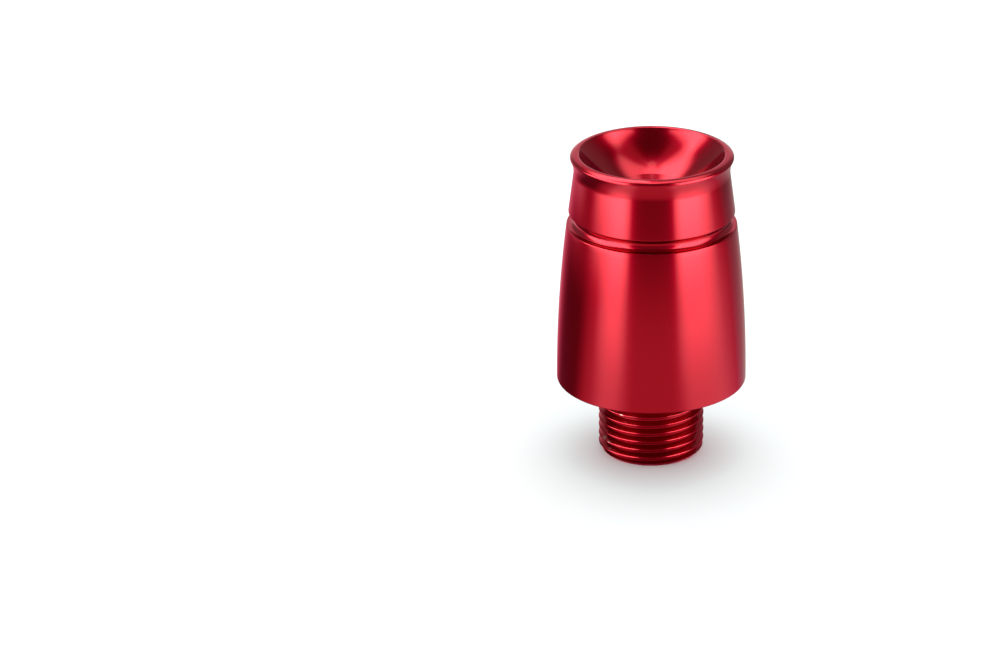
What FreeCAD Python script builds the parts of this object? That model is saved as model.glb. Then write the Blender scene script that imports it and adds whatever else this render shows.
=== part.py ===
import FreeCAD, Part
import math
import os
import Sketcher

# Bar end weight for a motorcycle handlebar, turned from one bar of aluminium.
# It stands on the end face of its threaded stub, and Z is the turning axis.
document = FreeCAD.newDocument("BarEndWeight")

# Driving dimensions, in millimetres and degrees.
SIZES = [
    ("stub_diameter", 18.0, "outside of the stub, which carries a fine M18 thread"),
    ("stub_length", 13.2, "from the end face up to the shoulder"),
    ("stub_chamfer", 0.9, "lead of the thread at the end face"),
    ("relief_depth", 1.1, "undercut where the thread runs out below the shoulder"),
    ("relief_width", 1.6, "height of that undercut"),
    ("shoulder_diameter", 32.2, "widest place, level with the bar it closes"),
    ("shoulder_break", 0.3, "edge break below the barrel"),
    ("barrel_length", 28.15, "from the shoulder up to the ring groove"),
    ("barrel_radius", 230.0, "long arc of the barrel, upright at the shoulder"),
    ("groove_width", 2.15, "height of the ring groove, which has a half-round floor"),
    ("groove_depth", 1.14, "from the neck's surface to the floor of the groove"),
    ("groove_break", 0.15, "edge breaks of the ring groove"),
    ("neck_step", 0.05, "how far the neck stands back from the barrel"),
    ("neck_length", 6.64, "from the groove up to the start of the flare"),
    ("neck_taper", 7.4, "lean of the neck towards the axis"),
    ("flare_radius", 4.86, "hollow arc that opens the neck into the lip"),
    ("flare_lean", 27.4, "lean of the flare where it runs into the lip"),
    ("lip_round", 0.42, "small round at the outside of the lip"),
    ("lip_arch_radius", 1.7, "wide arch from that round up to the crest"),
    ("lip_turn", 52.0, "how steep the lip is where its two rounds meet"),
    ("mouth_round", 0.45, "inner round of the lip, from the crest into the cup"),
    ("cup_depth", 6.0, "from the crest of the lip down to the recess"),
    ("cup_wall_radius", 20.0, "hollow arc of the cup's wall"),
    ("recess_diameter", 11.7, "round recess in the bottom of the cup"),
    ("recess_break", 0.2, "edge break of the recess"),
    ("recess_dip", 7.0, "how much steeper the recess runs than the foot of the wall"),
    ("socket_width", 8.0, "hexagonal socket across its flats"),
    ("socket_depth", 7.5, "from the edge of the recess to the socket's bottom"),
    ("drill_allowance", 0.3, "from a flat of the socket in to the drilled hole"),
    ("drill_depth", 1.0, "straight length of that hole below the socket"),
    ("drill_angle", 118.0, "point of the drill"),
]

# Radii and heights worked out from the driving dimensions.
PLACES = [
    ("stub_radius", "=Sizes.stub_diameter / 2"),
    ("shoulder_height", "=Sizes.stub_length"),
    ("shoulder_radius", "=Sizes.shoulder_diameter / 2"),
    ("relief_radius", "=stub_radius - Sizes.relief_depth"),
    ("relief_foot", "=shoulder_height - Sizes.relief_width"),
    ("relief_slope_foot", "=relief_foot - Sizes.relief_depth"),
    ("relief_head", "=shoulder_height - Sizes.relief_depth"),
    ("groove_round", "=Sizes.groove_width / 2"),
    ("groove_foot", "=shoulder_height + Sizes.barrel_length"),
    ("groove_middle", "=groove_foot + groove_round"),
    ("groove_top", "=groove_foot + Sizes.groove_width"),
    ("barrel_rise", "=groove_middle - shoulder_height"),
    ("barrel_reach", "=sqrt(Sizes.barrel_radius ^ 2 - barrel_rise ^ 2)"),
    ("barrel_top_radius", "=shoulder_radius - Sizes.barrel_radius + barrel_reach"),
    ("neck_foot_radius", "=barrel_top_radius - Sizes.neck_step"),
    ("groove_centre_radius", "=neck_foot_radius - Sizes.groove_depth + groove_round"),
    ("flare_height", "=groove_top + Sizes.neck_length"),
    ("neck_rise", "=flare_height - groove_middle"),
    ("flare_foot_radius", "=neck_foot_radius - neck_rise * tan(Sizes.neck_taper * 1 deg)"),
    ("flare_out", "=Sizes.flare_radius * cos(Sizes.neck_taper * 1 deg)"),
    ("flare_up", "=Sizes.flare_radius * sin(Sizes.neck_taper * 1 deg)"),
    ("flare_centre_radius", "=flare_foot_radius + flare_out"),
    ("flare_centre_height", "=flare_height + flare_up"),
    ("lean_cosine", "=cos(Sizes.flare_lean * 1 deg)"),
    ("lean_sine", "=sin(Sizes.flare_lean * 1 deg)"),
    ("lip_foot_radius", "=flare_centre_radius - Sizes.flare_radius * lean_cosine"),
    ("lip_foot_height", "=flare_centre_height + Sizes.flare_radius * lean_sine"),
    ("lip_middle_radius", "=lip_foot_radius - Sizes.lip_round * lean_cosine"),
    ("lip_middle", "=lip_foot_height + Sizes.lip_round * lean_sine"),
    ("turn_cosine", "=cos(Sizes.lip_turn * 1 deg)"),
    ("turn_sine", "=sin(Sizes.lip_turn * 1 deg)"),
    ("lip_top_radius", "=lip_middle_radius + Sizes.lip_round * turn_cosine"),
    ("lip_top_height", "=lip_middle + Sizes.lip_round * turn_sine"),
    ("crest_radius", "=lip_top_radius - Sizes.lip_arch_radius * turn_cosine"),
    ("arch_middle", "=lip_top_height - Sizes.lip_arch_radius * turn_sine"),
    ("crest_height", "=arch_middle + Sizes.lip_arch_radius"),
    ("mouth_middle", "=crest_height - Sizes.mouth_round"),
    ("above_crest", "=crest_height + Sizes.cup_depth"),
    ("recess_radius", "=Sizes.recess_diameter / 2"),
    ("recess_height", "=crest_height - Sizes.cup_depth"),
    ("cup_across", "=crest_radius - recess_radius"),
    ("cup_rise", "=mouth_middle - recess_height"),
    ("cup_span", "=sqrt(cup_across ^ 2 + cup_rise ^ 2)"),
    ("wall_reach", "=Sizes.cup_wall_radius + Sizes.mouth_round"),
    ("wall_excess", "=Sizes.cup_wall_radius ^ 2 - wall_reach ^ 2"),
    ("wall_along", "=(cup_span ^ 2 + wall_excess) / (2 * cup_span)"),
    ("wall_off", "=sqrt(Sizes.cup_wall_radius ^ 2 - wall_along ^ 2)"),
    ("wall_share", "=wall_along / cup_span"),
    ("wall_turn", "=wall_off / cup_span"),
    ("wall_centre_radius", "=recess_radius + wall_share * cup_across - wall_turn * cup_rise"),
    ("wall_centre_height", "=recess_height + wall_share * cup_rise + wall_turn * cup_across"),
    ("foot_out", "=recess_radius - wall_centre_radius"),
    ("foot_down", "=wall_centre_height - recess_height"),
    ("recess_slope", "=atan(foot_out / foot_down) + Sizes.recess_dip * 1 deg"),
    ("recess_tip", "=recess_height - recess_radius * tan(recess_slope)"),
    ("mouth_share", "=Sizes.mouth_round / wall_reach"),
    ("wall_top_radius", "=crest_radius + mouth_share * (wall_centre_radius - crest_radius)"),
    ("wall_top_height", "=mouth_middle + mouth_share * (wall_centre_height - mouth_middle)"),
    ("socket_half_width", "=Sizes.socket_width / 2"),
    ("socket_bottom", "=recess_height - Sizes.socket_depth"),
    ("drill_radius", "=socket_half_width - Sizes.drill_allowance"),
    ("drill_bottom", "=socket_bottom - Sizes.drill_depth"),
    ("drill_tip", "=drill_bottom - drill_radius / tan(Sizes.drill_angle * 1 deg / 2)"),
]


def fill_sheet(name, rows):
    """A sheet with a name in column A, its value in column B and a note in column C."""
    sheet = document.addObject("Spreadsheet::Sheet", name)
    for number, row in enumerate(rows, start=1):
        sheet.set("A" + str(number), row[0])
        sheet.set("B" + str(number), str(row[1]))
        sheet.setAlias("B" + str(number), row[0])
        if len(row) > 2:
            sheet.set("C" + str(number), row[2])
    return sheet


sizes = fill_sheet("Sizes", SIZES)
document.recompute()
places = fill_sheet("Places", PLACES)
document.recompute()


def size(name):
    """A driving dimension as a number."""
    return float(sizes.get(name))


def place(name):
    """A worked-out radius or height as a number."""
    return float(places.get(name))


body = document.addObject("PartDesign::Body", "BarEndWeight")
body.Label = "bar_end_weight"


def origin_plane(role):
    """The plane of the body's own origin that has this role."""
    for feature in body.Origin.OriginFeatures:
        if feature.Role == role:
            return feature
    raise RuntimeError("no origin plane " + role)


def new_sketch(name, role):
    """An empty sketch on one of the body's origin planes."""
    sketch = body.newObject("Sketcher::SketchObject", name)
    sketch.AttachmentSupport = [(origin_plane(role), "")]
    sketch.MapMode = "FlatFace"
    return sketch


def add_line(sketch, start, end):
    """A straight edge between two points given as radius and height."""
    first = FreeCAD.Vector(start[0], start[1], 0)
    last = FreeCAD.Vector(end[0], end[1], 0)
    return sketch.addGeometry(Part.LineSegment(first, last), False)


def add_arc(sketch, centre, radius, start, end):
    """A circular edge that turns anticlockwise from start to end."""
    middle = FreeCAD.Vector(centre[0], centre[1], 0)
    circle = Part.Circle(middle, FreeCAD.Vector(0, 0, 1), radius)
    first = math.atan2(start[1] - centre[1], start[0] - centre[0])
    last = math.atan2(end[1] - centre[1], end[0] - centre[0])
    return sketch.addGeometry(Part.ArcOfCircle(circle, first, last), False)


def join(sketch, edge, end, other, other_end):
    """Two edge ends meet in one point."""
    sketch.addConstraint(Sketcher.Constraint("Coincident", edge, end, other, other_end))


def drive(sketch, constraint, cell):
    """Adds a constraint that takes its value from a cell of a sheet."""
    index = sketch.addConstraint(constraint)
    sketch.setExpression("Constraints[" + str(index) + "]", cell)


def hold(sketch, edge, end, radius=None, height=None):
    """Holds an edge's end at a radius and a height that the sheet of places names."""
    if radius == "axis":
        sketch.addConstraint(Sketcher.Constraint("PointOnObject", edge, end, -2))
    elif radius:
        across = Sketcher.Constraint("DistanceX", -1, 1, edge, end, place(radius))
        drive(sketch, across, "Places." + radius)
    if height == "floor":
        sketch.addConstraint(Sketcher.Constraint("PointOnObject", edge, end, -1))
    elif height:
        up = Sketcher.Constraint("DistanceY", -1, 1, edge, end, place(height))
        drive(sketch, up, "Places." + height)


def hold_radius(sketch, edge, cell, value):
    """Gives a circular edge the radius in a cell."""
    drive(sketch, Sketcher.Constraint("Radius", edge, value), cell)


def spot(radius, height):
    """A point of an outline, by the names of its radius and height."""
    across = 0.0 if radius == "axis" else place(radius)
    up = 0.0 if height == "floor" else place(height)
    return across, up


def draw_outline(sketch, corners):
    """A closed outline of straight edges through corners that name their radius and height."""
    points = [spot(radius, height) for radius, height in corners]
    edges = []
    for number, point in enumerate(points):
        edges.append(add_line(sketch, point, points[(number + 1) % len(points)]))
    for number, edge in enumerate(edges):
        join(sketch, edge, 2, edges[(number + 1) % len(edges)], 1)
        hold(sketch, edge, 1, corners[number][0], corners[number][1])


def turn(kind, name, sketch):
    """A revolved feature about the turning axis: kind is Revolution or Groove."""
    feature = body.newObject("PartDesign::" + kind, name)
    feature.Profile = sketch
    feature.ReferenceAxis = (sketch, ["V_Axis"])
    feature.Angle = 360.0
    document.recompute()
    return feature


def must_cut(name, before):
    """Stops when a cutting feature left the solid as it was."""
    if body.Shape.Volume >= before - 1e-3:
        raise RuntimeError(name + " cuts nothing")


# Turned blank: stub, shoulder, barrel, neck, flare and the lip up to its crest.
def draw_blank():
    """The outline of the blank, from the axis out along the end face and back at the crest."""
    sketch = new_sketch("BlankOutline", "XZ_Plane")
    end_corner = spot("stub_radius", "floor")
    root = spot("stub_radius", "shoulder_height")
    shoulder = spot("shoulder_radius", "shoulder_height")
    barrel_centre = (place("shoulder_radius") - size("barrel_radius"), place("shoulder_height"))
    barrel_top = spot("barrel_top_radius", "groove_middle")
    neck_foot = spot("neck_foot_radius", "groove_middle")
    flare_foot = spot("flare_foot_radius", "flare_height")
    flare_centre = spot("flare_centre_radius", "flare_centre_height")
    lip_foot = spot("lip_foot_radius", "lip_foot_height")
    lip_centre = spot("lip_middle_radius", "lip_middle")
    lip_top = spot("lip_top_radius", "lip_top_height")
    arch_centre = spot("crest_radius", "arch_middle")
    crest = spot("crest_radius", "crest_height")
    top = spot("axis", "crest_height")

    end_face = add_line(sketch, (0, 0), end_corner)
    stub = add_line(sketch, end_corner, root)
    seat = add_line(sketch, root, shoulder)
    barrel = add_arc(sketch, barrel_centre, size("barrel_radius"), shoulder, barrel_top)
    ledge = add_line(sketch, barrel_top, neck_foot)
    neck = add_line(sketch, neck_foot, flare_foot)
    flare = add_arc(sketch, flare_centre, size("flare_radius"), lip_foot, flare_foot)
    lip = add_arc(sketch, lip_centre, size("lip_round"), lip_foot, lip_top)
    arch = add_arc(sketch, arch_centre, size("lip_arch_radius"), lip_top, crest)
    top_face = add_line(sketch, crest, top)
    axis = add_line(sketch, top, (0, 0))

    join(sketch, end_face, 1, -1, 1)
    join(sketch, end_face, 2, stub, 1)
    join(sketch, stub, 2, seat, 1)
    join(sketch, seat, 2, barrel, 1)
    join(sketch, barrel, 2, ledge, 1)
    join(sketch, ledge, 2, neck, 1)
    join(sketch, neck, 2, flare, 2)
    join(sketch, flare, 1, lip, 1)
    join(sketch, lip, 2, arch, 1)
    join(sketch, arch, 2, top_face, 1)
    join(sketch, top_face, 2, axis, 1)
    join(sketch, axis, 2, end_face, 1)
    hold(sketch, stub, 1, "stub_radius", "floor")
    hold(sketch, seat, 1, "stub_radius", "shoulder_height")
    hold(sketch, seat, 2, "shoulder_radius", "shoulder_height")
    hold_radius(sketch, barrel, "Sizes.barrel_radius", size("barrel_radius"))
    hold(sketch, ledge, 1, "barrel_top_radius", "groove_middle")
    hold(sketch, neck, 1, "neck_foot_radius", "groove_middle")
    hold(sketch, neck, 2, "flare_foot_radius", "flare_height")
    hold_radius(sketch, flare, "Sizes.flare_radius", size("flare_radius"))
    hold(sketch, lip, 1, "lip_foot_radius", "lip_foot_height")
    hold_radius(sketch, lip, "Sizes.lip_round", size("lip_round"))
    hold(sketch, arch, 1, "lip_top_radius", "lip_top_height")
    hold_radius(sketch, arch, "Sizes.lip_arch_radius", size("lip_arch_radius"))
    hold(sketch, top_face, 1, "crest_radius", "crest_height")
    hold(sketch, axis, 1, "axis", "crest_height")
    document.recompute()
    return sketch


blank = turn("Revolution", "TurnedBlank", draw_blank())


# Undercut below the shoulder, so that the weight can be screwed up flat against the bar.
relief_outline = new_sketch("ReliefOutline", "XZ_Plane")
draw_outline(relief_outline, [
    ("stub_radius", "relief_slope_foot"),
    ("stub_radius", "shoulder_height"),
    ("relief_radius", "relief_head"),
    ("relief_radius", "relief_foot"),
])
document.recompute()
volume = body.Shape.Volume
relief = turn("Groove", "ThreadRelief", relief_outline)
must_cut("the thread relief", volume)


# Cup: the rounded mouth, a hollow wall that runs on from it, and the cone of the recess.
def draw_cup():
    """The outline of the cup and its recess, with a little air above the crest."""
    sketch = new_sketch("CupOutline", "XZ_Plane")
    tip = spot("axis", "recess_tip")
    edge = spot("recess_radius", "recess_height")
    wall_top = spot("wall_top_radius", "wall_top_height")
    wall_centre = spot("wall_centre_radius", "wall_centre_height")
    mouth_centre = spot("crest_radius", "mouth_middle")
    crest = spot("crest_radius", "crest_height")
    above = spot("crest_radius", "above_crest")
    middle = spot("axis", "above_crest")

    cone = add_line(sketch, tip, edge)
    wall = add_arc(sketch, wall_centre, size("cup_wall_radius"), edge, wall_top)
    mouth = add_arc(sketch, mouth_centre, size("mouth_round"), crest, wall_top)
    outside = add_line(sketch, crest, above)
    lid = add_line(sketch, above, middle)
    axis = add_line(sketch, middle, tip)

    join(sketch, cone, 2, wall, 1)
    join(sketch, wall, 2, mouth, 2)
    join(sketch, mouth, 1, outside, 1)
    join(sketch, outside, 2, lid, 1)
    join(sketch, lid, 2, axis, 1)
    join(sketch, axis, 2, cone, 1)
    hold(sketch, cone, 1, "axis", "recess_tip")
    hold(sketch, wall, 1, "recess_radius", "recess_height")
    hold_radius(sketch, wall, "Sizes.cup_wall_radius", size("cup_wall_radius"))
    hold(sketch, mouth, 2, "wall_top_radius", "wall_top_height")
    hold_radius(sketch, mouth, "Sizes.mouth_round", size("mouth_round"))
    hold(sketch, outside, 1, "crest_radius", "crest_height")
    hold(sketch, lid, 1, "crest_radius", "above_crest")
    hold(sketch, axis, 1, "axis", "above_crest")
    document.recompute()
    return sketch


cup_outline = draw_cup()
volume = body.Shape.Volume
cup = turn("Groove", "Cup", cup_outline)
must_cut("the cup", volume)


# Ring groove between barrel and neck, cut with a tool as round as the groove is wide.
def draw_groove():
    """The outline of the ring groove: two level edges and a half circle."""
    sketch = new_sketch("GrooveOutline", "XZ_Plane")
    outer = place("shoulder_radius")
    inner = place("groove_centre_radius")
    foot = place("groove_foot")
    top = place("groove_top")
    lower = add_line(sketch, (inner, foot), (outer, foot))
    outside = add_line(sketch, (outer, foot), (outer, top))
    upper = add_line(sketch, (outer, top), (inner, top))
    middle = (inner, place("groove_middle"))
    hollow = add_arc(sketch, middle, place("groove_round"), (inner, top), (inner, foot))
    join(sketch, lower, 2, outside, 1)
    join(sketch, outside, 2, upper, 1)
    join(sketch, upper, 2, hollow, 1)
    join(sketch, hollow, 2, lower, 1)
    hold(sketch, lower, 1, "groove_centre_radius", "groove_foot")
    hold(sketch, outside, 1, "shoulder_radius", "groove_foot")
    hold(sketch, outside, 2, "shoulder_radius", "groove_top")
    hold(sketch, upper, 2, "groove_centre_radius", "groove_top")
    sketch.addConstraint(Sketcher.Constraint("Vertical", hollow, 3, hollow, 1))
    document.recompute()
    return sketch


volume = body.Shape.Volume
ring_groove = turn("Groove", "RingGroove", draw_groove())
must_cut("the ring groove", volume)


# Hexagonal socket for the fitting key, broached down from the edge of the recess.
def draw_hexagon():
    """A regular hexagon with two flats square to the X axis."""
    sketch = new_sketch("SocketOutline", "XY_Plane")
    sketch.setExpression("AttachmentOffset.Base.z", "Places.recess_height")
    corner_radius = size("socket_width") / math.sqrt(3)
    corners = []
    for number in range(6):
        angle = math.radians(30 + 60 * number)
        corners.append((corner_radius * math.cos(angle), corner_radius * math.sin(angle)))
    edges = []
    for number, corner in enumerate(corners):
        edges.append(add_line(sketch, corner, corners[(number + 1) % 6]))
    around = Part.Circle(FreeCAD.Vector(0, 0, 0), FreeCAD.Vector(0, 0, 1), corner_radius)
    guide = sketch.addGeometry(around, True)
    join(sketch, guide, 3, -1, 1)
    for number, edge in enumerate(edges):
        join(sketch, edge, 2, edges[(number + 1) % 6], 1)
        sketch.addConstraint(Sketcher.Constraint("PointOnObject", edge, 1, guide))
    for edge in edges[1:]:
        sketch.addConstraint(Sketcher.Constraint("Equal", edges[0], edge))
    sketch.addConstraint(Sketcher.Constraint("Vertical", edges[5]))
    half = Sketcher.Constraint("DistanceX", -1, 1, edges[5], 1, place("socket_half_width"))
    drive(sketch, half, "Places.socket_half_width")
    document.recompute()
    return sketch


volume = body.Shape.Volume
socket_outline = draw_hexagon()
socket = body.newObject("PartDesign::Pocket", "HexSocket")
socket.Profile = socket_outline
socket.setExpression("Length", "Sizes.socket_depth")
document.recompute()
must_cut("the socket", volume)

# Drilled hole that the socket was broached into, with the cone of the drill at its end.
drill_outline = new_sketch("DrillOutline", "XZ_Plane")
draw_outline(drill_outline, [
    ("axis", "recess_tip"),
    ("axis", "drill_tip"),
    ("drill_radius", "drill_bottom"),
    ("drill_radius", "recess_tip"),
])
document.recompute()
volume = body.Shape.Volume
drill_hole = turn("Groove", "DrillHole", drill_outline)
must_cut("the drilled hole", volume)


def rings():
    """Each level circular edge about the axis as name, radius and height."""
    found = []
    for number, edge in enumerate(body.Shape.Edges, start=1):
        box = edge.BoundBox
        off_axis = abs(box.XMin + box.XMax) + abs(box.YMin + box.YMax)
        if edge.isClosed() and box.ZLength < 0.01 and off_axis < 0.01 and box.XLength > 0:
            found.append(("Edge" + str(number), box.XLength / 2, box.ZMin))
    return found


def ring_at(radius, height):
    """Name of the ring nearest to a place, named by its radius and height."""
    across, up = spot(radius, height)
    nearest = min(rings(), key=lambda ring: math.hypot(ring[1] - across, ring[2] - up))
    if math.hypot(nearest[1] - across, nearest[2] - up) > size("groove_width") / 2:
        raise RuntimeError("no ring at " + radius + " and " + height)
    return nearest[0]


def bevel(name, edges, cell):
    """Chamfers edges of the body by the size in a cell."""
    base = body.Tip
    feature = body.newObject("PartDesign::Chamfer", name)
    feature.Base = (base, edges)
    feature.setExpression("Size", cell)
    document.recompute()
    return feature


# Edges: the thread's lead, the shoulder, both sides of the groove, and the recess.
bevel("StubLead", [ring_at("stub_radius", "floor")], "Sizes.stub_chamfer")
bevel("ShoulderBreak", [ring_at("shoulder_radius", "shoulder_height")], "Sizes.shoulder_break")
groove_edges = [
    ring_at("barrel_top_radius", "groove_foot"),
    ring_at("neck_foot_radius", "groove_top"),
]
bevel("GrooveBreaks", groove_edges, "Sizes.groove_break")
bevel("RecessBreak", [ring_at("recess_radius", "recess_height")], "Sizes.recess_break")

body.Placement = FreeCAD.Placement(FreeCAD.Vector(0, 0, 0), FreeCAD.Rotation())
document.recompute()


def check_document():
    """Stops when a feature failed or the solid isn't a sound one."""
    for item in document.Objects:
        for state in item.State:
            if state in ("Invalid", "Error"):
                raise RuntimeError(item.Name + " is " + state)
    if body.Shape.isNull() or not body.Shape.isValid() or len(body.Shape.Solids) != 1:
        raise RuntimeError("the weight isn't one sound solid")


check_document()
os.makedirs("parts", exist_ok=True)
body.Shape.exportStep("parts/" + body.Label + ".step")
print(body.Label, "volume", round(body.Shape.Volume, 2), "mm3, box", body.Shape.BoundBox)
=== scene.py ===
import math

import bpy
from mathutils import Matrix, Vector


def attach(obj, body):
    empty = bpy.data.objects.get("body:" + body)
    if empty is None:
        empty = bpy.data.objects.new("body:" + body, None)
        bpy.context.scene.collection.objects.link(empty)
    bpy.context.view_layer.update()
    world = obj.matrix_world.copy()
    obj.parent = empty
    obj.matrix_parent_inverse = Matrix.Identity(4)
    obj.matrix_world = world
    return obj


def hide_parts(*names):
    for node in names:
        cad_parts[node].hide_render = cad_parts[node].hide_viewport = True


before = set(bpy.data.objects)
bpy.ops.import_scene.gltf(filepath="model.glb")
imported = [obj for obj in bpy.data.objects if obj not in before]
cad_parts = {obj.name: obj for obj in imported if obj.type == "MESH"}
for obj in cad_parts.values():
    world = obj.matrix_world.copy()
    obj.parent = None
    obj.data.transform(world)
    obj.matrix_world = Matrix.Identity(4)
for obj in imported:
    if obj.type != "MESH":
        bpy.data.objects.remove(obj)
for spare in ("Cube", "Light", "Camera"):
    if spare in bpy.data.objects:
        bpy.data.objects.remove(bpy.data.objects[spare])
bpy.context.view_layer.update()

# Turned blank: one bar of aluminium, held in a lathe and turned to stub, relief, barrel, ring
# groove, neck, flared lip and cup. Every edge is broken by the tool. Its outline is drawn once,
# in millimetres, and spun about the turning axis.
MILLIMETRE = 0.001
TURN_STEPS = 256
MERGE_DISTANCE = 0.002
STUB_LENGTH = 13.2
STUB_RADIUS = 8.97
LEAD = 0.9
RELIEF_RADIUS = 7.9
RELIEF_WIDTH = 1.6
RELIEF_ROUND = 0.2
SHOULDER_RADIUS = 16.1
SHOULDER_ROUND = 0.35
BARREL_ARC = 230.0
BARREL_STEPS = 28
GROOVE_FOOT = 41.35
GROOVE_WIDTH = 2.15
GROOVE_DEPTH = 1.14
GROOVE_BREAK = 0.2
GROOVE_STEPS = 20
NECK_STEP = 0.05
NECK_TAPER = math.radians(7.4)
FLARE_ARC = 4.86
FLARE_START = 50.14
FLARE_LEAN = math.radians(27.4)
FLARE_STEPS = 18
LIP_ROUND = 0.42
LIP_ARCH = 1.7
LIP_TURN = math.radians(52)
ARCH_STEPS = 8
MOUTH_ROUND = 0.45
ROUND_STEPS = 10
CUP_DEPTH = 6.0
CUP_ARC = 20.0
CUP_STEPS = 24
RECESS_RADIUS = 5.85
RECESS_ROUND = 0.25
RECESS_DIP = math.radians(7)
HALVINGS = 40


def arc_points(centre, radius, start, end, steps):
    """Points on an arc in the outline, as radius and height, from one angle to another."""
    points = []
    for step in range(steps + 1):
        angle = start + (end - start) * step / steps
        points.append((centre[0] + radius * math.cos(angle), centre[1] + radius * math.sin(angle)))
    return points


def round_corner(outline, corner, radius, steps=8):
    """Replaces a sharp corner of an outline by a curve that touches the edges beside it."""
    index = min(range(len(outline)), key=lambda i: math.dist(outline[i], corner))
    at = Vector(outline[index])
    back = walk(outline, index, -1, radius)[1]
    forth = walk(outline, index, 1, radius)[1]
    reach = radius / math.tan(back.angle(forth) / 2)
    before = walk(outline, index, -1, reach)[0]
    after = walk(outline, index, 1, reach)[0]
    points = []
    for step in range(steps + 1):
        share = step / steps
        side = (1 - share) ** 2 * before + share ** 2 * after
        points.append(tuple(side + 2 * share * (1 - share) * at))
    keep_before = [p for i, p in enumerate(outline) if i < index and (Vector(p) - at).length > reach]
    keep_after = [p for i, p in enumerate(outline) if i > index and (Vector(p) - at).length > reach]
    return keep_before + points + keep_after


def walk(outline, index, way, reach):
    """The point at a distance from a corner along the outline, and the direction to it."""
    at = Vector(outline[index])
    i = index + way
    while 0 < i < len(outline) - 1 and (Vector(outline[i]) - at).length < reach:
        i += way
    inner, outer = Vector(outline[i - way]), Vector(outline[i])
    low, high = 0.0, 1.0
    for _ in range(HALVINGS):
        middle = (low + high) / 2
        if (inner.lerp(outer, middle) - at).length < reach:
            low = middle
        else:
            high = middle
    point = inner.lerp(outer, low)
    return point, (point - at).normalized()


def meet(first, first_reach, second, second_reach):
    """The point at two given distances from two points, on the left of the way between them."""
    way = Vector(second) - Vector(first)
    along = (way.length ** 2 + first_reach ** 2 - second_reach ** 2) / (2 * way.length)
    off = math.sqrt(first_reach ** 2 - along ** 2)
    way.normalize()
    return Vector(first) + along * way + off * Vector((-way.y, way.x))


def blank_outline():
    """The whole outline, from the middle of the end face round to the bottom of the recess."""
    groove_round = GROOVE_WIDTH / 2
    groove_middle = GROOVE_FOOT + groove_round
    groove_top = GROOVE_FOOT + GROOVE_WIDTH
    barrel_centre = (SHOULDER_RADIUS - BARREL_ARC, STUB_LENGTH)
    barrel_end = math.asin((GROOVE_FOOT - STUB_LENGTH) / BARREL_ARC)
    barrel_reach = math.sqrt(BARREL_ARC ** 2 - (groove_middle - STUB_LENGTH) ** 2)
    neck_radius = barrel_centre[0] + barrel_reach - NECK_STEP
    groove_centre = (neck_radius - GROOVE_DEPTH + groove_round, groove_middle)
    neck_foot = (neck_radius - groove_round * math.tan(NECK_TAPER), groove_top)
    flare_foot_radius = neck_radius - (FLARE_START - groove_middle) * math.tan(NECK_TAPER)
    flare_centre = (
        flare_foot_radius + FLARE_ARC * math.cos(NECK_TAPER),
        FLARE_START + FLARE_ARC * math.sin(NECK_TAPER),
    )
    lip_centre = (
        flare_centre[0] - (FLARE_ARC + LIP_ROUND) * math.cos(FLARE_LEAN),
        flare_centre[1] + (FLARE_ARC + LIP_ROUND) * math.sin(FLARE_LEAN),
    )
    arch_centre = (
        lip_centre[0] - (LIP_ARCH - LIP_ROUND) * math.cos(LIP_TURN),
        lip_centre[1] - (LIP_ARCH - LIP_ROUND) * math.sin(LIP_TURN),
    )
    crest_height = arch_centre[1] + LIP_ARCH
    mouth_centre = (arch_centre[0], crest_height - MOUTH_ROUND)
    recess_edge = (RECESS_RADIUS, crest_height - CUP_DEPTH)
    wall_centre = meet(recess_edge, CUP_ARC, mouth_centre, CUP_ARC + MOUTH_ROUND)
    wall_foot = math.atan2(recess_edge[1] - wall_centre.y, recess_edge[0] - wall_centre.x)
    wall_end = math.atan2(mouth_centre[1] - wall_centre.y, mouth_centre[0] - wall_centre.x)
    recess_slope = wall_foot + math.pi / 2 + RECESS_DIP
    recess_tip = (0.0, recess_edge[1] - RECESS_RADIUS * math.tan(recess_slope))
    relief_foot = STUB_LENGTH - RELIEF_WIDTH
    relief_lead = relief_foot - (STUB_RADIUS - RELIEF_RADIUS)
    relief_head = STUB_LENGTH - (STUB_RADIUS - RELIEF_RADIUS)

    outline = [(0.0, 0.0), (STUB_RADIUS - LEAD, 0.0), (STUB_RADIUS, LEAD)]
    outline += [(STUB_RADIUS, relief_lead), (RELIEF_RADIUS, relief_foot)]
    outline += [(RELIEF_RADIUS, relief_head), (STUB_RADIUS, STUB_LENGTH)]
    outline += arc_points(barrel_centre, BARREL_ARC, 0.0, barrel_end, BARREL_STEPS)
    barrel_top = outline[-1]
    outline += arc_points(groove_centre, groove_round, -math.pi / 2, -3 * math.pi / 2, GROOVE_STEPS)
    outline += [neck_foot, (flare_foot_radius, FLARE_START)]
    for centre, radius, start, end, steps in (
        (flare_centre, FLARE_ARC, math.pi + NECK_TAPER, math.pi - FLARE_LEAN, FLARE_STEPS),
        (lip_centre, LIP_ROUND, -FLARE_LEAN, LIP_TURN, ROUND_STEPS),
        (arch_centre, LIP_ARCH, LIP_TURN, math.pi / 2, ARCH_STEPS),
        (mouth_centre, MOUTH_ROUND, math.pi / 2, wall_end + math.pi, ROUND_STEPS),
        (wall_centre, CUP_ARC, wall_end, wall_foot, CUP_STEPS),
    ):
        outline += arc_points(centre, radius, start, end, steps)[1:]
    outline.append(recess_tip)
    for corner, radius in (
        ((SHOULDER_RADIUS, STUB_LENGTH), SHOULDER_ROUND),
        (barrel_top, GROOVE_BREAK),
        (neck_foot, GROOVE_BREAK),
        (recess_edge, RECESS_ROUND),
        ((RELIEF_RADIUS, relief_head), RELIEF_ROUND),
        ((RELIEF_RADIUS, relief_foot), RELIEF_ROUND),
    ):
        outline = round_corner(outline, corner, radius)
    return outline


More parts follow.
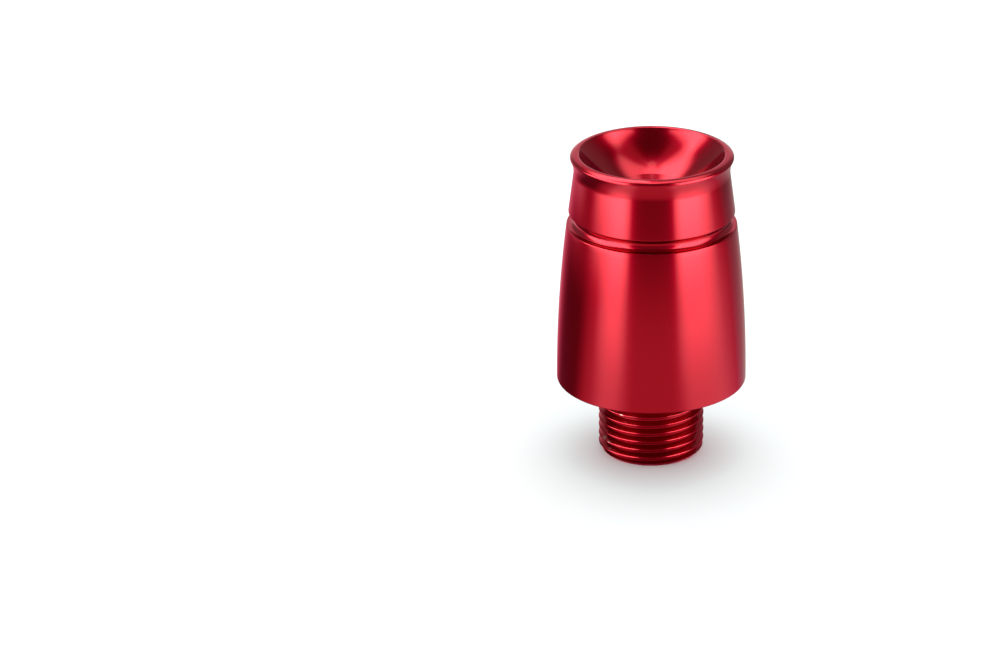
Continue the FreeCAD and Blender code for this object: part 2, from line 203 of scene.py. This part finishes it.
def start_piece(name):
    """A new mesh object with a single vertex at the origin, open in edit mode."""
    bpy.ops.object.select_all(action="DESELECT")
    bpy.ops.mesh.primitive_plane_add(size=MILLIMETRE)
    piece = bpy.context.object
    piece.name = name
    piece.data.name = name
    bpy.ops.object.mode_set(mode="EDIT")
    bpy.ops.mesh.select_all(action="SELECT")
    bpy.ops.mesh.merge(type="CENTER")
    return piece


def extrude_along(outline):
    """Draws an outline in edit mode: the last vertex is extruded from point to point."""
    at = Vector(outline[0])
    bpy.ops.transform.translate(value=(at.x * MILLIMETRE, 0, at.y * MILLIMETRE))
    for point in outline[1:]:
        step = (Vector(point) - at) * MILLIMETRE
        at = Vector(point)
        bpy.ops.mesh.extrude_region_move(TRANSFORM_OT_translate={"value": (step.x, 0, step.y)})


def close_piece():
    """Merges what lies on itself and turns every face outwards, then leaves edit mode."""
    bpy.ops.mesh.select_all(action="SELECT")
    bpy.ops.mesh.remove_doubles(threshold=MERGE_DISTANCE * MILLIMETRE)
    bpy.ops.mesh.normals_make_consistent(inside=False)
    bpy.ops.object.mode_set(mode="OBJECT")


weight = start_piece("turned_weight")
extrude_along(blank_outline())
bpy.ops.mesh.select_all(action="SELECT")
bpy.ops.mesh.spin(steps=TURN_STEPS, angle=2 * math.pi, center=(0, 0, 0), axis=(0, 0, 1))
close_piece()

# Thread: M18 with a pitch of 1.5 mm, cut into the stub by the lathe from its lead up into the
# relief. The sixty-degree tip of the tool winds up once a pitch and leaves the crests a little
# rounded. The thread screws into an insert in the end of the handlebar.
PITCH = 1.5
THREAD_ROOT = 8.08
TIP_FLAT = 0.22
CREST_ROUND = 0.22
TOOL_REACH = 9.2
THREAD_STEPS = 144
RUN_IN = 1.1
CREST_LEANS = (60, 45, 30, 15)


def thread_tool():
    """The path of the threading tool as a closed helical bar that leaves the crests rounded."""
    tool = start_piece("thread_tool")
    side = [(THREAD_ROOT, TIP_FLAT / 2)]
    for lean in [math.radians(degrees) for degrees in CREST_LEANS]:
        radius = STUB_RADIUS - CREST_ROUND * (1 - math.cos(lean))
        side.append((radius, PITCH / 2 - CREST_ROUND * math.sin(lean)))
    side.append((TOOL_REACH, side[-1][1]))
    section = [(radius, -rise) for radius, rise in side]
    extrude_along(section + side[::-1])
    bpy.ops.mesh.select_all(action="SELECT")
    bpy.ops.mesh.edge_face_add()
    bpy.ops.transform.translate(value=(0, 0, -RUN_IN * PITCH * MILLIMETRE))
    bpy.ops.object.mode_set(mode="OBJECT")
    turns = round((STUB_LENGTH - RELIEF_WIDTH / 2) / PITCH) + 1
    screw = tool.modifiers.new("helix", "SCREW")
    screw.angle = 2 * math.pi * turns
    screw.screw_offset = PITCH * turns * MILLIMETRE
    screw.steps = THREAD_STEPS * turns
    screw.render_steps = THREAD_STEPS * turns
    screw.use_merge_vertices = False
    bpy.ops.object.modifier_apply(modifier=screw.name)
    bpy.ops.object.mode_set(mode="EDIT")
    bpy.ops.mesh.select_all(action="DESELECT")
    bpy.ops.mesh.select_non_manifold()
    bpy.ops.mesh.edge_face_add()
    close_piece()
    return tool


def cut_away(piece, cutter):
    """Takes the cutter's space away from the piece and clears the cutter."""
    bpy.ops.object.select_all(action="DESELECT")
    bpy.context.view_layer.objects.active = piece
    cut = piece.modifiers.new("cut", "BOOLEAN")
    cut.operation = "DIFFERENCE"
    cut.solver = "EXACT"
    cut.object = cutter
    bpy.ops.object.modifier_apply(modifier=cut.name)
    bpy.data.objects.remove(cutter)


cut_away(weight, thread_tool())

# Socket: a six-sided hole for a key, 8 mm across its flats, broached into a hole that was drilled
# first, so the point of the drill shows below it. Its top edge follows the cone of the recess in
# six shallow scallops.
SOCKET_WIDTH = 8.0
SOCKET_FLOOR = 40.4
DRILL_RADIUS = 3.7
DRILL_FLOOR = 39.4
DRILL_POINT = math.radians(118)
DRILL_STEPS = 96
DRILL_PAST_FLOOR = 2.0
SOCKET_TOP = 50.0
SMOOTH_ANGLE = math.radians(24)


def hexagon_key():
    """A six-sided bar with two flats square to the X axis."""
    depth = (SOCKET_TOP - SOCKET_FLOOR) * MILLIMETRE
    bpy.ops.object.select_all(action="DESELECT")
    bpy.ops.mesh.primitive_cylinder_add(
        vertices=6,
        radius=SOCKET_WIDTH / math.sqrt(3) * MILLIMETRE,
        depth=depth,
        location=(0, 0, SOCKET_FLOOR * MILLIMETRE + depth / 2),
    )
    return bpy.context.object


def drill():
    """The drill's body with its pointed end."""
    tip = DRILL_FLOOR - DRILL_RADIUS / math.tan(DRILL_POINT / 2)
    top = SOCKET_FLOOR + DRILL_PAST_FLOOR
    piece = start_piece("drill")
    extrude_along([(0, tip), (DRILL_RADIUS, DRILL_FLOOR), (DRILL_RADIUS, top), (0, top)])
    bpy.ops.mesh.select_all(action="SELECT")
    bpy.ops.mesh.spin(steps=DRILL_STEPS, angle=2 * math.pi, center=(0, 0, 0), axis=(0, 0, 1))
    close_piece()
    return piece


cut_away(weight, hexagon_key())
cut_away(weight, drill())
bpy.ops.object.select_all(action="DESELECT")
weight.select_set(True)
bpy.context.view_layer.objects.active = weight
bpy.ops.object.shade_smooth_by_angle(angle=SMOOTH_ANGLE)

# Red anodised aluminium: turned bright, etched a little, dyed red in its oxide skin and sealed.
# The eye sees a deep red metal with a satin glow that the turning marks draw out along the axis.
# The skin has come off in four small nicks on the stub, given as place, size and how bare.
NICKS = (
    ((-5.25, -7.2, 8.9), 0.55, 0.45),
    ((-5.85, -6.75, 8.3), 0.45, 0.5),
    ((-7.4, -4.9, 2.45), 0.9, 0.35),
    ((-8.2, -3.4, 3.3), 0.8, 0.2),
)
NICK_GRAIN = 0.4


def linear(hex_colour):
    """An sRGB hex colour as linear red, green, blue and alpha."""
    parts = [int(hex_colour[i:i + 2], 16) / 255 for i in (1, 3, 5)]
    return [c / 12.92 if c <= 0.04045 else ((c + 0.055) / 1.055) ** 2.4 for c in parts] + [1.0]


def add_node(tree, kind, settings=None, inputs=None, links=None):
    """Adds a node with its settings, its input values and the sockets that feed it."""
    node = tree.nodes.new(kind)
    for name, value in (settings or {}).items():
        setattr(node, name, value)
    for name, value in (inputs or {}).items():
        node.inputs[name].default_value = value
    for name, source in (links or {}).items():
        tree.links.new(source, node.inputs[name])
    return node


def new_material(name):
    """An empty node material and its output node."""
    material = bpy.data.materials.new(name)
    material.use_nodes = True
    material.node_tree.nodes.clear()
    output = material.node_tree.nodes.new("ShaderNodeOutputMaterial")
    return material, material.node_tree, output


def ramp(tree, value, low, high, first, last):
    """Runs smoothly from one value to another while the input goes from low to high."""
    node = add_node(tree, "ShaderNodeMapRange", {"interpolation_type": "SMOOTHSTEP"}, {
        "From Min": low, "From Max": high, "To Min": first, "To Max": last,
    }, {"Value": value})
    return node.outputs[0]


def combine(tree, operation, first, second):
    """One arithmetic step on two inputs, each a socket or a number."""
    node = tree.nodes.new("ShaderNodeMath")
    node.operation = operation
    for index, source in enumerate((first, second)):
        if isinstance(source, (int, float)):
            node.inputs[index].default_value = source
        else:
            tree.links.new(source, node.inputs[index])
    return node.outputs[0]


def red_anodised_aluminium():
    """Dyed oxide over turned metal: coloured mirror below, clear and hard skin above."""
    material, tree, output = new_material("red_anodised_aluminium")
    tangent = add_node(tree, "ShaderNodeTangent", {"direction_type": "RADIAL", "axis": "Z"})
    place = add_node(tree, "ShaderNodeTexCoord")
    grain = add_node(tree, "ShaderNodeTexNoise", None, {"Scale": 1 / (NICK_GRAIN * MILLIMETRE)},
                     {"Vector": place.outputs["Object"]})
    bare = 0.0
    for spot, size, worn in NICKS:
        away = add_node(tree, "ShaderNodeVectorMath", {"operation": "DISTANCE"},
                        {1: [number * MILLIMETRE for number in spot]}, {0: place.outputs["Object"]})
        ragged = combine(tree, "SUBTRACT", away.outputs["Value"], combine(
            tree, "MULTIPLY", grain.outputs["Fac"], size * MILLIMETRE))
        nick = ramp(tree, ragged, 0.0, size * MILLIMETRE / 2, worn, 0.0)
        bare = combine(tree, "MAXIMUM", nick, bare)
    colour = add_node(tree, "ShaderNodeMix", {"data_type": "RGBA"}, {
        "A": linear("#96001F"), "B": linear("#D8CFCF"),
    }, {"Factor": bare})
    surface = add_node(tree, "ShaderNodeBsdfPrincipled", None, {
        "Metallic": 1.0,
        "Roughness": 0.2,
        "Anisotropic": 0.4,
        "Specular Tint": linear("#FFC4DA"),
        "Coat Weight": 0.24,
        "Coat Roughness": 0.08,
        "Coat IOR": 1.77,
    }, {"Base Color": colour.outputs["Result"], "Tangent": tangent.outputs[0]})
    tree.links.new(surface.outputs[0], output.inputs["Surface"])
    return material


weight.data.materials.clear()
weight.data.materials.append(red_anodised_aluminium())
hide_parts("bar_end_weight")
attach(weight, "root")

# Table and light tent: a wide matt white board under even light, and round the weight a tent of
# cloth with soft boxes, which only the polish of the weight sees. It is dim in front, bright at
# both sides and bright overhead. Its windows are given in degrees round the weight or up from the
# table, with 0 in front, and in metres from the turning axis.
TABLE_SIZE = 6.0
TABLE_GLOW = 0.03
TENT_RADIUS = 0.7
TENT_STRENGTH = 2.05
TENT_MIDDLE = 0.03
TENT_STEPS = 96
CARPET_LIFT = 0.0001
ROOM_LIGHT = 1.06
TOP_LIGHT_POWER = 0.85
TOP_LIGHT_LEAN = math.radians(-35)
TOP_LIGHT_SPREAD = math.radians(70)


def pale_table():
    """Matt white board that keeps a soft shadow and stays as pale as the background."""
    material, tree, output = new_material("pale_table")
    path = add_node(tree, "ShaderNodeLightPath")
    seen = add_node(tree, "ShaderNodeMath", {"operation": "MAXIMUM"}, None,
                    {0: path.outputs["Is Camera Ray"], 1: path.outputs["Is Glossy Ray"]})
    seen = add_node(tree, "ShaderNodeMath", {"operation": "MAXIMUM"}, None,
                    {0: seen.outputs[0], 1: path.outputs["Is Transmission Ray"]})
    share = add_node(tree, "ShaderNodeMath", {"operation": "MULTIPLY"}, {1: TABLE_GLOW},
                     {0: seen.outputs[0]})
    matt = add_node(tree, "ShaderNodeBsdfDiffuse", None, {"Color": linear("#EFF7F7")})
    glow = add_node(tree, "ShaderNodeEmission", None, None, {"Strength": share.outputs[0]})
    both = add_node(tree, "ShaderNodeAddShader", None, None, {0: matt.outputs[0], 1: glow.outputs[0]})
    tree.links.new(both.outputs[0], output.inputs["Surface"])
    return material


def angle_nodes(tree):
    """Azimuth and elevation of a place on the tent, and its reach from the axis; 0 is in front."""
    place = add_node(tree, "ShaderNodeTexCoord")
    parts = add_node(tree, "ShaderNodeSeparateXYZ", None, None, {0: place.outputs["Object"]})
    front = combine(tree, "MULTIPLY", parts.outputs["Y"], -1.0)
    azimuth = combine(tree, "DEGREES", combine(tree, "ARCTAN2", parts.outputs["X"], front), 0.0)
    flat = add_node(tree, "ShaderNodeCombineXYZ", None, None,
                    {0: parts.outputs["X"], 1: parts.outputs["Y"]})
    reach = add_node(tree, "ShaderNodeVectorMath", {"operation": "LENGTH"}, None, {0: flat.outputs[0]})
    rise = combine(tree, "SUBTRACT", parts.outputs["Z"], TENT_MIDDLE)
    lift = combine(tree, "ARCTAN2", rise, reach.outputs["Value"])
    return azimuth, combine(tree, "DEGREES", lift, 0.0), reach.outputs["Value"]


def panel(tree, value, inner_start, inner_end, outer_start, outer_end):
    """A soft-edged window: rises to 1 over the first two values, falls to 0 over the last two."""
    rise = ramp(tree, value, inner_start, inner_end, 0.0, 1.0)
    fall = ramp(tree, value, outer_start, outer_end, 1.0, 0.0)
    return combine(tree, "MULTIPLY", rise, fall)


def add_up(tree, *parts):
    """The sum of several sockets or numbers."""
    total = parts[0]
    for part in parts[1:]:
        total = combine(tree, "ADD", total, part)
    return total


def lamp(tree, strength, *windows):
    """A patch of light, or of shade if it is negative: its strength times each of its windows."""
    light = strength
    for window in windows:
        light = combine(tree, "MULTIPLY", light, window)
    return light


def shine(tree, output, light, behind):
    """Cloth glows white where a box or the room behind lights it; where it is dim, its glow is painted
    red.
    """
    # Painted light: the dim cloth's glow keeps less green and blue, so it glows red.
    white = combine(tree, "MAXIMUM", ramp(tree, light, 0.3, 1.0, 0.2, 1.0), behind)
    blue = ramp(tree, white, 0.0, 1.0, 0.27, 0.83)
    colour = add_node(tree, "ShaderNodeCombineColor", None, {"Red": 1.0}, {"Green": white, "Blue": blue})
    strength = combine(tree, "MULTIPLY", light, TENT_STRENGTH)
    glow = add_node(tree, "ShaderNodeEmission", None, None,
                    {"Color": colour.outputs[0], "Strength": strength})
    tree.links.new(glow.outputs[0], output.inputs["Surface"])


def tent_cloth():
    """The tent's wall: a soft box at each side, a bright back and roof, and a dim front."""
    material, tree, output = new_material("tent_cloth")
    azimuth, elevation = angle_nodes(tree)[:2]
    left = combine(tree, "MULTIPLY", azimuth, -1.0)
    around = combine(tree, "ABSOLUTE", azimuth, 0.0)
    low = panel(tree, elevation, -20, -15, 42, 56)
    right_box = lamp(tree, 3.2, panel(tree, azimuth, 29, 39, 70, 98), low)
    left_box = lamp(tree, 3.2, panel(tree, left, 31, 41, 92, 113), low)
    back_left = lamp(tree, 2.6, panel(tree, left, 74, 112, 190, 200),
                     panel(tree, elevation, 38, 54, 74, 84))
    back_right = lamp(tree, 1.0, panel(tree, azimuth, 84, 106, 150, 175),
                      panel(tree, elevation, 44, 60, 74, 86))
    behind = lamp(tree, 0.32, ramp(tree, around, 148, 162, 0.0, 1.0),
                  ramp(tree, elevation, 30, 50, 1.0, 0.0))
    sides = lamp(tree, 0.35, ramp(tree, around, 36, 62, 0.0, 1.0),
                 ramp(tree, elevation, 44, 56, 0.0, 1.0))
    overhead = combine(tree, "MAXIMUM", ramp(tree, elevation, 82, 87, 0.0, 0.7),
                       ramp(tree, around, 90, 140, 0.12, 1.0))
    roof = lamp(tree, 1.7, ramp(tree, elevation, 74, 84, 0.0, 1.0), overhead)
    front = combine(tree, "SUBTRACT", 0.2, lamp(tree, 0.11, ramp(tree, elevation, 30, 50, 0.0, 1.0)))
    light = add_up(tree, right_box, left_box, back_left, back_right, behind, sides, roof, front)
    shine(tree, output, light, ramp(tree, around, 95, 130, 0.0, 1.0))
    return material


def tent_carpet():
    """What the polish sees of the table: a painted shadow of the weight darkens it by the stub, with the
    glow of the boxes farther out.
    """
    material, tree, output = new_material("tent_carpet")
    azimuth, _, reach = angle_nodes(tree)
    left = combine(tree, "MULTIPLY", azimuth, -1.0)
    # Painted shadow: the weight's shadow on the table, as the polish would see it, dims the carpet close
    # to the stub.
    painted_stub_shadow = ramp(tree, reach, 0.012, 0.034, 0.4, 1.0)
    near = lamp(tree, 0.42, add_up(tree, panel(tree, azimuth, 20, 45, 70, 115),
                                   panel(tree, left, 20, 45, 50, 76)))
    right_glow = panel(tree, azimuth, 24, 40, 58, 95)
    near_boxes = add_up(tree, right_glow, panel(tree, left, 27, 42, 48, 74))
    middle = lamp(tree, 0.75, near_boxes, ramp(tree, reach, 0.045, 0.12, 0.0, 1.0))
    far_boxes = add_up(tree, right_glow, panel(tree, left, 27, 42, 66, 100))
    far = lamp(tree, 2.1, far_boxes, ramp(tree, reach, 0.12, 0.32, 0.0, 1.0))
    left_behind = lamp(tree, -0.39, panel(tree, left, 74, 96, 122, 156),
                       ramp(tree, reach, 0.1, 0.2, 1.0, 0.0))
    left_far_window = combine(tree, "MULTIPLY", ramp(tree, left, 96, 124, 0.0, 1.0),
                              ramp(tree, reach, 0.12, 0.24, 0.0, 1.0))
    left_far = combine(tree, "MULTIPLY", left_far_window, 0.42)
    right_behind = lamp(tree, -0.2, ramp(tree, azimuth, 100, 128, 0.0, 1.0))
    front = combine(tree, "SUBTRACT", 0.5, lamp(tree, 0.3, ramp(tree, reach, 0.06, 0.32, 0.0, 1.0)))
    light = add_up(tree, near, middle, far, left_behind, left_far, right_behind, front)
    light = combine(tree, "MULTIPLY", light, painted_stub_shadow)
    shine(tree, output, light, add_up(tree, ramp(tree, azimuth, 95, 130, 0.0, 1.0), left_far_window))
    return material


def only_for_polish(piece):
    """Makes a piece of the tent seen in reflections and nowhere else."""
    piece.visible_camera = False
    piece.visible_diffuse = False
    piece.visible_shadow = False
    piece.visible_transmission = False
    piece.visible_volume_scatter = False


bpy.ops.object.select_all(action="DESELECT")
bpy.ops.mesh.primitive_plane_add(size=TABLE_SIZE)
floor = bpy.context.object
floor.name = "pale_floor"
floor.data.materials.append(pale_table())

bpy.ops.mesh.primitive_uv_sphere_add(segments=TENT_STEPS, ring_count=TENT_STEPS // 2, radius=TENT_RADIUS)
tent = bpy.context.object
tent.name = "tent_wall"
bpy.ops.object.mode_set(mode="EDIT")
bpy.ops.mesh.select_all(action="SELECT")
bpy.ops.mesh.bisect(plane_co=(0, 0, 0), plane_no=(0, 0, -1), clear_outer=True)
bpy.ops.object.mode_set(mode="OBJECT")
tent.data.materials.append(tent_cloth())
only_for_polish(tent)

bpy.ops.mesh.primitive_circle_add(
    vertices=TENT_STEPS, radius=TENT_RADIUS, fill_type="NGON", location=(0, 0, CARPET_LIFT))
bpy.ops.object.transform_apply()
carpet = bpy.context.object
carpet.name = "tent_floor"
carpet.data.materials.append(tent_carpet())
only_for_polish(carpet)

room = bpy.context.scene.world or bpy.data.worlds.new("even_light")
room.use_nodes = True
room.node_tree.nodes["Background"].inputs["Color"].default_value = linear("#FFFFFF")
room.node_tree.nodes["Background"].inputs["Strength"].default_value = ROOM_LIGHT
bpy.context.scene.world = room

bpy.ops.object.light_add(type="SUN", rotation=(TOP_LIGHT_LEAN, 0, 0))
top_light = bpy.context.object
top_light.name = "soft_top_light"
top_light.data.energy = TOP_LIGHT_POWER
top_light.data.angle = TOP_LIGHT_SPREAD
top_light.visible_glossy = False

# Camera: a long lens three quarters of a metre away, looking down over the rim, with the small
# tilt of the photograph. Its place is in millimetres, and its focal length in pixels.
SENSOR_WIDTH = 36.0
FRAME_WIDTH = 1000
FOCAL_PIXELS = 4422.95
CAMERA_PLACE = (-25.74, -691.341, 317.354)
CAMERA_PITCH = math.radians(23.180)
CAMERA_ROLL = math.radians(0.641)


def place_camera():
    """Points the camera the way the photograph was taken."""
    down = Vector((0, -math.sin(CAMERA_PITCH), -math.cos(CAMERA_PITCH)))
    forward = Vector((0, math.cos(CAMERA_PITCH), -math.sin(CAMERA_PITCH)))
    level = Vector((1, 0, 0))
    image_right = level * math.cos(CAMERA_ROLL) + down * math.sin(CAMERA_ROLL)
    image_down = down * math.cos(CAMERA_ROLL) - level * math.sin(CAMERA_ROLL)
    bpy.ops.object.camera_add()
    camera = bpy.context.object
    turn = Matrix((image_right, -image_down, -forward)).transposed()
    camera.matrix_world = Matrix.Translation(Vector(CAMERA_PLACE) * MILLIMETRE) @ turn.to_4x4()
    camera.data.sensor_width = SENSOR_WIDTH
    camera.data.lens = FOCAL_PIXELS * SENSOR_WIDTH / FRAME_WIDTH
    camera.data.clip_start = 0.01
    camera.data.clip_end = 20.0
    return camera


bpy.context.scene.camera = place_camera()
bpy.context.scene.view_settings.view_transform = "Standard"
